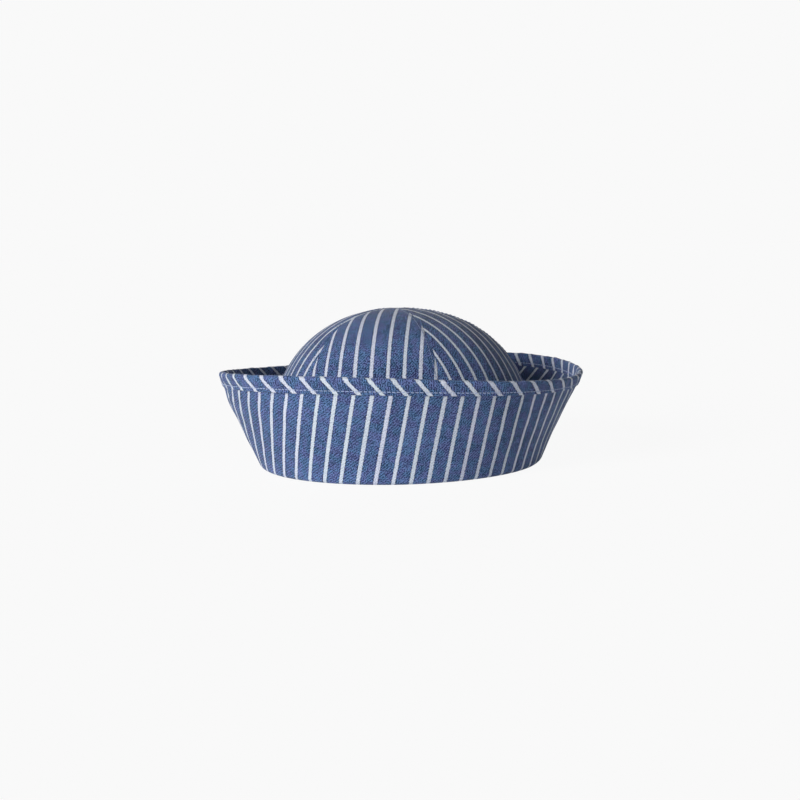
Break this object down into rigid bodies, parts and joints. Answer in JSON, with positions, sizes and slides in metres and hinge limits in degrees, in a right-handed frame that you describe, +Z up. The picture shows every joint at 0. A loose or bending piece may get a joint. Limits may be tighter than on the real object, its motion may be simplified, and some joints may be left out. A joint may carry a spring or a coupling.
{
  "type": "sailor cap",
  "caption": "Striped denim sailor cap: a domed crown of sewn gores inside a flared, turned-up brim with a bias-bound edge, worn on the head.",
  "frame": {"origin": "on the surface that the cap rests on, under the middle of its box and the crown's top", "axes": "+Z up through the crown's top; -Y the front of the cap; +X the wearer's left"},
  "size_m": [0.2518, 0.2616, 0.1075],
  "materials": {
    "crown_denim": "striped cotton denim, matte",
    "brim_denim": "striped cotton denim, matte",
    "binding_denim": "bias-cut striped cotton denim, matte"
  },
  "bodies": {
    "root": {"crown_gore_front": "crown_denim", "crown_gore_right": "crown_denim", "crown_gore_rear_right": "crown_denim", "crown_gore_rear_left": "crown_denim", "crown_gore_left": "crown_denim", "brim": "brim_denim", "rim_binding": "binding_denim"}
  },
  "joints": []
}
